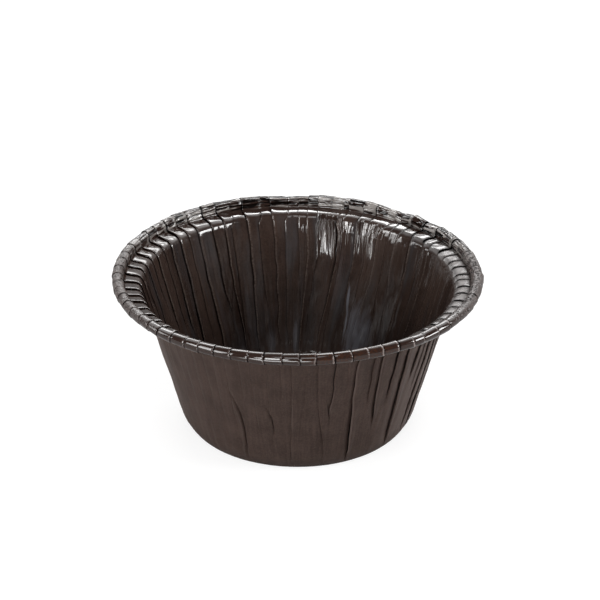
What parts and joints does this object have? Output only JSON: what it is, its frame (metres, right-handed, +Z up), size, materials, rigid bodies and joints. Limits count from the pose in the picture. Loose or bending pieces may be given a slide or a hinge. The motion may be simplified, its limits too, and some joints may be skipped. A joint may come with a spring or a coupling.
{
  "type": "cupcake liner",
  "caption": "Round pleated paper baking cup with a flat base, sloping wall, gloss film inside and an outward curled rim.",
  "frame": {"origin": "middle of the flat base, on the surface it stands on", "axes": "+Z up out of the mouth, -Y towards the picture's viewer, +X to that viewer's right"},
  "size_m": [0.08, 0.08, 0.0351],
  "materials": {
    "paper": "matte outside, gloss film inside"
  },
  "bodies": {
    "root": {"baking_cup": "paper"}
  },
  "joints": []
}
